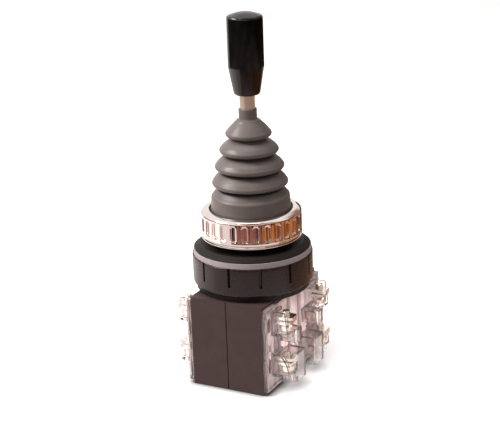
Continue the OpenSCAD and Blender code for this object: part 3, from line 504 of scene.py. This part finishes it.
RECESSES = 28
RECESS_SHARE = 0.58        # of the pitch
RECESS_DEPTH = 0.9 * MM
RECESS_H = 6.0 * MM
RECESS_START = 3.0 * MM    # from the nut's foot
RECESS_EDGE = 0.32 * MM    # width of a recess's sloping wall
RECESS_CORNER = 0.75 * MM
RECESS_CROWN = 0.12        # share of its depth that a recess's floor rises at its sides
FINE_H = 0.8 * MM          # height of the fine rows at a recess's ends
CEILING_H = 3.3 * MM       # height of the nut's inner flange
END_MARGIN = 0.06 * MM     # by which the fine rows pass a recess's ends
OPENING_GAP = 0.6 * MM     # between the boot's skirt and the nut's opening
CROWN_H = 1.6 * MM
CROWN_ANGLE = math.radians(75)
CROWN_STEPS = 12
# The side under the recesses: a rounded foot and a bead's groove, as (inset, height) in millimetres.
FOOT_INSETS = ((0.9, 0), (0.6, 0.04), (0.3, 0.22), (0.06, 0.44))
GROOVE_INSETS = ((0.2, 1.2), (0.25, 1.35), (0.2, 1.5), (0.03, 1.68))


def make_ring_nut():
    low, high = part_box("ring_nut")
    outer = high.x
    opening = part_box("boot")[1].x + OPENING_GAP
    half = math.pi * outer / RECESSES * RECESS_SHARE
    foot = low.z + RECESS_START
    top = foot + RECESS_H
    middle = (foot + top) / 2

    def depth(arc, height):
        across = abs(arc) - half + RECESS_CORNER
        along = abs(height - middle) - RECESS_H / 2 + RECESS_CORNER
        outside = math.hypot(max(across, 0), max(along, 0)) + min(max(across, along), 0) - RECESS_CORNER
        hollow = 1 - RECESS_CROWN + RECESS_CROWN * math.cos(0.5 * math.pi * arc / half)
        return RECESS_DEPTH * eased(-outside / RECESS_EDGE) * hollow

    side_top = high.z - CROWN_H
    profile = [(NECK_BORE_R, low.z)]
    profile += [(outer - inset * MM, low.z + height * MM) for inset, height in FOOT_INSETS]
    profile += between((outer, low.z + 0.6 * MM), (outer, low.z + 1.05 * MM), 3)
    profile += [(outer - inset * MM, low.z + height * MM) for inset, height in GROOVE_INSETS]
    profile += between((outer, low.z + 1.8 * MM), (outer, foot - END_MARGIN), 2)
    profile += between((outer, foot - END_MARGIN), (outer, foot + FINE_H), 12)
    profile += between((outer, foot + FINE_H), (outer, top - FINE_H), 6)
    profile += between((outer, top - FINE_H), (outer, top + END_MARGIN), 12)
    for i in range(CROWN_STEPS + 1):
        turn = CROWN_ANGLE * i / CROWN_STEPS
        profile.append((opening + (outer - opening) * math.cos(turn),
                        side_top + CROWN_H * math.sin(turn) / math.sin(CROWN_ANGLE)))
    profile += [(opening + 0.25 * MM, high.z), (opening + 0.06 * MM, high.z - 0.06 * MM)]
    ceiling = high.z - CEILING_H
    profile += [(opening, high.z - 0.25 * MM), (opening, ceiling), (NECK_BORE_R, ceiling)]

    edge = half - RECESS_EDGE
    offsets = [edge * i / 10 for i in range(10)] + [edge + RECESS_EDGE * i / 6 for i in range(7)]
    offsets += [half + 0.12 * MM, half + 0.4 * MM, math.pi * outer / RECESSES]
    start = math.pi / RECESSES
    piece = link("ring_nut_turned", *carved(profile, RECESSES, start, offsets, depth), "ring_chrome")
    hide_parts("ring_nut")
    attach(piece, "housing")


# ---------- locking collar ----------

SLOTS = 12
SLOT_START = math.radians(4.3)
SLOT_W = 1.1 * MM
SLOT_DEPTH = 1.4 * MM
SLOT_EDGE = 0.12 * MM
SLOT_RIM = 3.8 * MM        # height of the collar below the slots
COLLAR_CHAMFER = 0.7 * MM
# The collar's rounded edges, as (inset, distance from its face) in millimetres.
COLLAR_FOOT = ((1.0, 0), (0.7, 0.04), (0.45, 0.26), (0.18, 0.52), (0.04, 0.74))
COLLAR_TOP = ((0, 0.35), (0.04, 0.18), (0.14, 0.05), (0.3, 0), (0.7, 0))


def make_collar():
    low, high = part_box("locking_collar")
    outer = high.x
    half = SLOT_W / 2
    foot = low.z + SLOT_RIM

    def depth(arc, height):
        inside = min(half - abs(arc), height - foot)
        return SLOT_DEPTH * eased(inside / SLOT_EDGE)

    profile = [(NECK_BORE_R, low.z)]
    profile += [(outer - inset * MM, low.z + height * MM) for inset, height in COLLAR_FOOT]
    profile += between((outer, low.z + COLLAR_CHAMFER + 0.3 * MM), (outer, foot - 0.05 * MM), 6)
    profile += between((outer, foot - 0.05 * MM), (outer, foot + 0.2 * MM), 6)
    profile += between((outer, foot + 0.2 * MM), (outer, high.z - 0.35 * MM), 8)
    profile += [(outer - inset * MM, high.z - height * MM) for inset, height in COLLAR_TOP]
    profile += [(outer - SLOT_DEPTH - 0.05 * MM, high.z), (NECK_BORE_R, high.z)]

    offsets = [0, 0.25 * MM] + [half - SLOT_EDGE + SLOT_EDGE * i / 5 for i in range(6)]
    offsets += [half + 0.1 * MM, half + 0.5 * MM] + [half + 0.5 * MM + 0.55 * MM * i for i in range(1, 9)]
    offsets += [math.pi * outer / SLOTS]
    body = carved(profile, SLOTS, SLOT_START, offsets, depth)
    piece = link("locking_collar_moulded", *body, "collar_plastic")
    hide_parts("locking_collar")
    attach(piece, "housing")


# ---------- terminal screws ----------

HEAD_R = 2.7 * MM
HEAD_H = 2.7 * MM
SCREW_R = 1.5 * MM
SCREW_PITCH = 0.5 * MM
SCREW_GROOVE = 0.28 * MM
CROSS_W = 0.9 * MM
CROSS_L = 2.0 * MM
CROSS_DEPTH = 1.2 * MM
CROSS_EDGE = 0.16 * MM     # width of its sloping wall
CROSS_TAPER = 0.55         # share of its depth lost towards its ends
FACE_INSET = 0.45 * MM     # from the head's side to where its face is flat
# The head's side, as (inset from the head's radius, height) in millimetres.
HEAD_FOOT = ((0.2, 0.08), (0.05, 0.25), (0, 0.5))
TIP_H = 0.5 * MM           # of the screw's pointed end
TIP_SHARE = 0.55           # share of its radius at the very tip
SCREW_COLUMNS = 72
FACE_RINGS = 16
PITCH_STEPS = 8
ROW_DROP = 16.3 * MM       # from the upper row of terminals down to the lower one


def cross_depth(x, y):
    """Depth of the cross recess under the head at one point of its face."""
    deepest = 0
    for along, across in ((x, y), (y, x)):
        inside = min(CROSS_W / 2 - abs(across), CROSS_L - abs(along))
        taper = 1 - CROSS_TAPER * abs(along) / CROSS_L
        deepest = max(deepest, CROSS_DEPTH * taper * eased(inside / CROSS_EDGE))
    return deepest


def screw_mesh(length):
    """One screw, head down: its face at height 0 and its tip at length."""
    turns = [2 * math.pi * c / SCREW_COLUMNS for c in range(SCREW_COLUMNS)]
    face_r = HEAD_R - FACE_INSET
    rows = []
    for i in range(1, FACE_RINGS + 1):
        radius = face_r * i / FACE_RINGS
        rows.append([(radius * math.cos(t), radius * math.sin(t),
                      cross_depth(radius * math.cos(t), radius * math.sin(t))) for t in turns])
    side = [(HEAD_R - inset * MM, height * MM) for inset, height in HEAD_FOOT]
    side += [(HEAD_R, HEAD_H - 0.2 * MM), (HEAD_R - 0.12 * MM, HEAD_H - 0.04 * MM),
             (HEAD_R - 0.3 * MM, HEAD_H), (SCREW_R + 0.1 * MM, HEAD_H)]
    for radius, height in side:
        rows.append([(radius * math.cos(t), radius * math.sin(t), height) for t in turns])
    step = SCREW_PITCH / PITCH_STEPS
    for i in range(int((length - HEAD_H) / step) + 1):
        height = HEAD_H + i * step
        fade = min(1, (length - height) / TIP_H + TIP_SHARE)
        row = []
        for t in turns:
            phase = (height / SCREW_PITCH - t / (2 * math.pi)) % 1
            radius = (SCREW_R - SCREW_GROOVE * (1 - abs(2 * phase - 1))) * fade
            row.append((radius * math.cos(t), radius * math.sin(t), height))
        rows.append(row)
    vertices = [point for row in rows for point in row] + [(0, 0, CROSS_DEPTH), (0, 0, length)]
    faces = grid_faces(len(rows), SCREW_COLUMNS)
    last = (len(rows) - 1) * SCREW_COLUMNS
    for c in range(SCREW_COLUMNS):
        d = (c + 1) % SCREW_COLUMNS
        faces.append((len(vertices) - 2, d, c))
        faces.append((len(vertices) - 1, last + c, last + d))
    return vertices, faces


def make_terminal_screws():
    """Eight screws in two rows, each turned a little differently, as screws are."""
    low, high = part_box("terminal_screws")
    x, y = high.x - HEAD_R, high.y - HEAD_R
    screw, skin = screw_mesh(high.z - ROW_DROP - low.z)
    vertices, faces = [], []
    for row, z in enumerate((low.z, low.z + ROW_DROP)):
        for column, (side, end) in enumerate(((-1, -1), (1, -1), (-1, 1), (1, 1))):
            turn = 0.35 + 1.1 * row + 0.7 * column
            first = len(vertices)
            for px, py, pz in screw:
                vertices.append((side * x + px * math.cos(turn) - py * math.sin(turn),
                                 end * y + px * math.sin(turn) + py * math.cos(turn), z + pz))
            faces += [tuple(first + v for v in face) for face in skin]
    piece = link("terminal_screws_threaded", vertices, faces, "screw_steel")
    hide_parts("terminal_screws")
    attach(piece, "housing")


# ---------- springs ----------

WIRE = 0.45 * MM
WIRE_SIDES = 10
TURN_STEPS = 36
RETURN_TURNS = 6
CONTACT_TURNS = 5


def coil(low, high, turns):
    """A wound wire that fills a node's box, with closed end turns."""
    radius = (high.x - low.x - WIRE) / 2
    middle = (low + high) / 2
    vertices = []
    count = turns * TURN_STEPS
    for i in range(count + 1):
        share = i / count
        rise = 0.5 * share + 0.5 * eased(share)
        height = low.z + WIRE / 2 + (high.z - low.z - WIRE) * rise
        turn = 2 * math.pi * i / TURN_STEPS
        for j in range(WIRE_SIDES):
            around = 2 * math.pi * j / WIRE_SIDES
            reach = radius + WIRE / 2 * math.cos(around)
            vertices.append((middle.x + reach * math.cos(turn), middle.y + reach * math.sin(turn),
                             height + WIRE / 2 * math.sin(around)))
    faces = [tuple(reversed(face)) for face in grid_faces(count + 1, WIRE_SIDES)]
    first, last = range(WIRE_SIDES), range(count * WIRE_SIDES, (count + 1) * WIRE_SIDES)
    faces += [tuple(first), tuple(reversed(last))]
    return vertices, faces


def make_springs():
    """The return springs stay where they are between block and plunger; the contact springs ride their
    plunger.
    """
    for name in SETS:
        low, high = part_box(name + "_return_spring")
        piece = link(name + "_return_coil", *coil(low, high, RETURN_TURNS), "spring_steel")
        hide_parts(name + "_return_spring")
        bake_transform(piece)
        low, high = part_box(name + "_contact_spring")
        piece = link(name + "_contact_coil", *coil(low, high, CONTACT_TURNS), "spring_steel")
        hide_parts(name + "_contact_spring")
        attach(piece, name + "_contact")


# ---------- carried-over CAD nodes ----------

NODE_FINISH = {
    "barrel_housing": "neck_plastic", "pivot_carrier": "cast_zinc", "pin_guide": "nylon",
    "sealing_washer": "washer_rubber", "flange_gasket": "gasket_rubber",
    "left_block_housing": "block_plastic", "right_block_housing": "block_plastic",
    "left_block_cover": "cover_clear", "right_block_cover": "cover_clear", "block_screws": "screw_steel",
    "left_terminal_strips": "terminal_metal", "right_terminal_strips": "terminal_metal",
    "fixed_contact_tips": "contact_silver", "clamp_washers": "terminal_metal",
    "gimbal_ring": "cast_zinc", "outer_pivot_pins": "pin_steel", "inner_pivot_pins": "pin_steel",
    "lever_hub": "nylon", "lever_shaft": "shaft_steel", "spider_plate": "pin_steel",
    "hub_nut": "screw_steel", "knob": "knob_plastic", "knob_insert": "insert_brass",
}
SET_FINISH = {"_pin": "nylon", "_plunger": "plunger_plastic", "_contact_bridge": "contact_bronze"}


def dress_nodes():
    finish = dict(NODE_FINISH)
    for name in SETS:
        for ending, slot in SET_FINISH.items():
            finish[name + ending] = slot
    for name, slot in finish.items():
        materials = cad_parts[name].data.materials
        materials.clear()
        materials.append(FINISHES[slot])


# ---------- stage ----------


def direction(azimuth, elevation):
    """Unit vector from the object; azimuth 0 is -Y, and grows towards +X."""
    a, e = math.radians(azimuth), math.radians(elevation)
    return Vector((math.sin(a) * math.cos(e), -math.cos(a) * math.cos(e), math.sin(e)))


FLOOR_Z = cad_low.z
FLOOR_SIZE = 3.0             # half its width, metres
FLOOR_GAP = 0.00002          # below the part's foot
FLOOR_GREY = (0.36, 0.35, 0.34, 1)   # what light bounces on to
FLOOR_GLOW = 0.55            # added to the light on the floor as the camera sees it
PAINTED_CONTACT_SHADOW_REACH = 0.0045       # width of the painted contact shadow along what stands on the floor
PAINTED_CONTACT_SHADOW_POWER = 2.0
MIRRORED_FLOOR = srgb(244, 230, 226)
WARM_WHITE = (1.0, 0.965, 0.945, 1)
STUDIO_BROWN = srgb(150, 112, 92)
PATCH_SCALE = 1.6            # of the noise that decides where the room turns brown
BROWN_FROM, BROWN_TO = 0.5, 0.72
BROWN_SIDE = direction(CAMERA_AZIMUTH + 70, -10) * 0.3
AMBIENT = 0.2                # share of white that matt surfaces get from the room
CARD_LIFT = 0.0005           # of a card over the floor
NEAR_CARD_R = 0.17


def ray_is(tree, *kinds):
    """1 for rays of any of these kinds."""
    rays = tree.nodes.new("ShaderNodeLightPath")
    found = rays.outputs[f"Is {kinds[0]} Ray"]
    for kind in kinds[1:]:
        either = tree.nodes.new("ShaderNodeMath")
        either.operation = "MAXIMUM"
        tree.links.new(found, either.inputs[0])
        tree.links.new(rays.outputs[f"Is {kind} Ray"], either.inputs[1])
        found = either.outputs[0]
    return found


def mixed(tree, factor, first, second):
    """The colour first, or second where factor is 1. A colour is a tuple or a socket."""
    node = tree.nodes.new("ShaderNodeMix")
    node.data_type = "RGBA"
    for name, color in (("A", first), ("B", second)):
        if isinstance(color, tuple):
            node.inputs[name].default_value = color
        else:
            tree.links.new(color, node.inputs[name])
    tree.links.new(factor, node.inputs["Factor"])
    return node.outputs["Result"]


def stage_piece(name, vertices, faces, material, seen=True):
    """A piece of the studio. An unseen one shows only in gloss."""
    mesh = bpy.data.meshes.new(name)
    mesh.from_pydata(vertices, [], faces)
    mesh.materials.append(material)
    piece = bpy.data.objects.new(name, mesh)
    if not seen:
        piece.visible_camera = False
        piece.visible_diffuse = False
        piece.visible_shadow = False
        piece.visible_transmission = False
    bpy.context.scene.collection.objects.link(piece)


def floor_material():
    """White to the camera, apart from the object's shadow and a contact shadow painted in along its foot;
    greyer to what the light bounces on to.
    """
    material = bpy.data.materials.new("floor")
    material.use_nodes = True
    tree = material.node_tree
    tree.nodes.clear()
    output = tree.nodes.new("ShaderNodeOutputMaterial")
    plain = tree.nodes.new("ShaderNodeBsdfDiffuse")
    plain.inputs["Color"].default_value = FLOOR_GREY
    shown = tree.nodes.new("ShaderNodeBsdfDiffuse")
    glow = tree.nodes.new("ShaderNodeEmission")
    # painted shadow: ambient occlusion darkens the floor, as the camera sees it, along what stands on it
    contact = tree.nodes.new("ShaderNodeAmbientOcclusion")
    contact.inputs["Distance"].default_value = PAINTED_CONTACT_SHADOW_REACH
    painted_contact_shadow = tree.nodes.new("ShaderNodeGamma")
    painted_contact_shadow.inputs["Gamma"].default_value = PAINTED_CONTACT_SHADOW_POWER
    tree.links.new(contact.outputs["Color"], painted_contact_shadow.inputs["Color"])
    tree.links.new(painted_contact_shadow.outputs["Color"], glow.inputs["Color"])
    tree.links.new(painted_contact_shadow.outputs["Color"], shown.inputs["Color"])
    glow.inputs["Strength"].default_value = FLOOR_GLOW
    both = tree.nodes.new("ShaderNodeAddShader")
    tree.links.new(shown.outputs[0], both.inputs[0])
    tree.links.new(glow.outputs[0], both.inputs[1])
    mirrored = tree.nodes.new("ShaderNodeEmission")
    mirrored.inputs["Color"].default_value = MIRRORED_FLOOR
    result = plain.outputs[0]
    for kinds, other in ((("Glossy",), mirrored), (("Camera", "Transmission"), both)):
        choice = tree.nodes.new("ShaderNodeMixShader")
        tree.links.new(ray_is(tree, *kinds), choice.inputs[0])
        tree.links.new(result, choice.inputs[1])
        tree.links.new(other.outputs[0], choice.inputs[2])
        result = choice.outputs[0]
    tree.links.new(result, output.inputs["Surface"])
    return material


def make_floor():
    z = FLOOR_Z - FLOOR_GAP
    corners = [(x * FLOOR_SIZE, y * FLOOR_SIZE, z) for x, y in ((-1, -1), (1, -1), (1, 1), (-1, 1))]
    stage_piece("floor", corners, [(0, 1, 2, 3)], floor_material())


def make_world():
    """A soft white room; what gloss sees of it turns brown in patches towards its right."""
    world = bpy.data.worlds.new("studio")
    bpy.context.scene.world = world
    world.use_nodes = True
    tree = world.node_tree
    place = tree.nodes.new("ShaderNodeTexCoord").outputs["Generated"]
    patches = tree.nodes.new("ShaderNodeTexNoise")
    patches.inputs["Scale"].default_value = PATCH_SCALE
    patches.inputs["Detail"].default_value = 2
    tree.links.new(place, patches.inputs["Vector"])
    side = tree.nodes.new("ShaderNodeVectorMath")
    side.operation = "DOT_PRODUCT"
    side.inputs[1].default_value = BROWN_SIDE
    tree.links.new(place, side.inputs[0])
    total = tree.nodes.new("ShaderNodeMath")
    total.operation = "ADD"
    tree.links.new(patches.outputs["Fac"], total.inputs[0])
    tree.links.new(side.outputs["Value"], total.inputs[1])
    brown = tree.nodes.new("ShaderNodeMapRange")
    brown.inputs["From Min"].default_value = BROWN_FROM
    brown.inputs["From Max"].default_value = BROWN_TO
    tree.links.new(total.outputs[0], brown.inputs["Value"])
    gloss = mixed(tree, brown.outputs["Result"], WARM_WHITE, STUDIO_BROWN)
    soft = tuple(AMBIENT * c for c in WARM_WHITE[:3]) + (1,)
    color = mixed(tree, ray_is(tree, "Glossy"), soft, gloss)
    color = mixed(tree, ray_is(tree, "Camera", "Transmission"), color, WARM_WHITE)
    tree.links.new(color, tree.nodes["Background"].inputs["Color"])


def area_light(name, azimuth, elevation, distance, size, power, color, aim=0.02, spread=180):
    """A round lamp that looks at the height aim on the object's axis."""
    lamp = bpy.data.lights.new(name, "AREA")
    lamp.shape = "DISK"
    lamp.size = size
    lamp.energy = power
    lamp.color = color
    lamp.spread = math.radians(spread)
    holder = bpy.data.objects.new(name, lamp)
    towards = direction(azimuth, elevation)
    holder.location = Vector((0, 0, aim)) + towards * distance
    holder.rotation_mode = "QUATERNION"
    holder.rotation_quaternion = towards.to_track_quat("Z", "Y")
    bpy.context.scene.collection.objects.link(holder)


def card_material(name, first, second, streak, strength=1.0):
    """A glowing card in two colours, in upright streaks about streak metres wide."""
    material = bpy.data.materials.new(name)
    material.use_nodes = True
    tree = material.node_tree
    tree.nodes.clear()
    output = tree.nodes.new("ShaderNodeOutputMaterial")
    glow = tree.nodes.new("ShaderNodeEmission")
    glow.inputs["Strength"].default_value = strength
    place = tree.nodes.new("ShaderNodeTexCoord").outputs["Object"]
    mapping = tree.nodes.new("ShaderNodeMapping")
    mapping.inputs["Scale"].default_value = (1 / streak, 1 / streak, 0.25 / streak)
    tree.links.new(place, mapping.inputs["Vector"])
    noise = tree.nodes.new("ShaderNodeTexNoise")
    noise.inputs["Scale"].default_value = 1
    noise.inputs["Detail"].default_value = 2
    tree.links.new(mapping.outputs["Vector"], noise.inputs["Vector"])
    share = tree.nodes.new("ShaderNodeMapRange")
    share.inputs["From Min"].default_value = 0.42
    share.inputs["From Max"].default_value = 0.58
    tree.links.new(noise.outputs["Fac"], share.inputs["Value"])
    tree.links.new(mixed(tree, share.outputs["Result"], first, second), glow.inputs["Color"])
    tree.links.new(glow.outputs[0], output.inputs["Surface"])
    return material


def card_edge(azimuths, radius, height, steps):
    """Points round the object between two azimuths, which are measured from the camera's."""
    points = []
    for i in range(steps + 1):
        turn = CAMERA_AZIMUTH + azimuths[0] + (azimuths[1] - azimuths[0]) * i / steps
        around = direction(turn, 0) * radius
        points.append((around.x, around.y, height))
    return points


def ribbon(name, edges, material):
    """An unseen card between two rows of as many points."""
    count = len(edges[0])
    faces = [(i, i + 1, i + count + 1, i + count) for i in range(count - 1)]
    stage_piece(name, edges[0] + edges[1], faces, material, seen=False)


def wall_card(name, azimuths, radius, bottom, top, material):
    """A curved card that stands round the object."""
    ribbon(name, [card_edge(azimuths, radius, height, 48) for height in (bottom, top)], material)


def flat_card(name, azimuths, radii, height, material):
    """A level card, between two radii."""
    ribbon(name, [card_edge(azimuths, radius, height, 32) for radius in radii], material)


def make_lights():
    area_light("key", CAMERA_AZIMUTH - 86, 40, 0.9, 0.4, 7.5, (1.0, 0.95, 0.92))
    area_light("top", CAMERA_AZIMUTH - 20, 78, 0.9, 0.5, 3.2, (1.0, 0.97, 0.95))
    area_light("fill", CAMERA_AZIMUTH + 10, 20, 1.2, 0.8, 0.6, (1.0, 0.95, 0.93))
    area_light("side", 90, 2, 0.6, 0.04, 0.0055, (1.0, 0.86, 0.85), aim=-0.041, spread=5)


def make_cards():
    """Cards that chrome and gloss mirror: dark in front, copper on the right, bright behind on the left."""
    foot = FLOOR_Z + CARD_LIFT
    dark = card_material("dark_card", srgb(10, 6, 6), srgb(150, 94, 82), 0.014)
    wall_card("dark_card", (-46, 22), NEAR_CARD_R, foot, 0.0, dark)
    copper = card_material("copper_card", srgb(54, 20, 12), srgb(196, 120, 66), 0.018)
    wall_card("copper_card", (22, 102), NEAR_CARD_R, foot, 0.0, copper)
    night = card_material("night_card", srgb(14, 10, 9), srgb(40, 29, 25), 0.08)
    wall_card("night_card", (-128, 168), 0.3, -0.008, 0.075, night)
    wood = card_material("wood_card", srgb(132, 84, 56), srgb(222, 184, 156), 0.014)
    flat_card("wood_card", (60, 165), (0.05, 0.16), foot, wood)
    umber = card_material("umber_card", srgb(84, 48, 32), srgb(134, 84, 58), 0.03)
    flat_card("umber_card", (80, 170), (0.16, 0.34), foot, umber)
    bright = card_material("bright_card", srgb(255, 240, 236), srgb(255, 250, 246), 0.03, 1.35)
    flat_card("bright_card", (-170, -75), (0.1, 0.32), foot, bright)
    gold = card_material("gold_card", srgb(46, 26, 16), srgb(208, 168, 100), 0.035)
    flat_card("gold_card", (-48, 44), (0.03, 0.2), 0.2, gold)


EYE_ELEVATION = 19.11
EYE_DISTANCE = 0.5399
LOOK_AZIMUTH = 27.75         # the lens looks the other way along this direction
LOOK_ELEVATION = 18.17
ROLL = -2.02
LENS = 102.8                 # millimetres on a sensor 36 wide


def make_camera():
    """Stands where the photographer stood: in front, to the right, a little above, and rolled a little."""
    seat = Vector((0, 0, 2.1 * MM))
    camera = bpy.data.cameras.new("camera")
    camera.sensor_width = 36
    camera.lens = LENS
    camera.clip_start = 0.01
    camera.clip_end = 20
    holder = bpy.data.objects.new("camera", camera)
    holder.location = seat + direction(CAMERA_AZIMUTH, EYE_ELEVATION) * EYE_DISTANCE
    level = (-direction(LOOK_AZIMUTH, LOOK_ELEVATION)).to_track_quat("-Z", "Y")
    holder.rotation_mode = "QUATERNION"
    holder.rotation_quaternion = level @ Quaternion((0, 0, 1), math.radians(ROLL))
    bpy.context.scene.collection.objects.link(holder)
    bpy.context.scene.camera = holder


make_camera()
dress_nodes()
make_boot()
make_ring_nut()
make_collar()
make_terminal_screws()
make_springs()
make_floor()
make_world()
make_lights()
make_cards()
bpy.context.scene.view_settings.view_transform = "Standard"
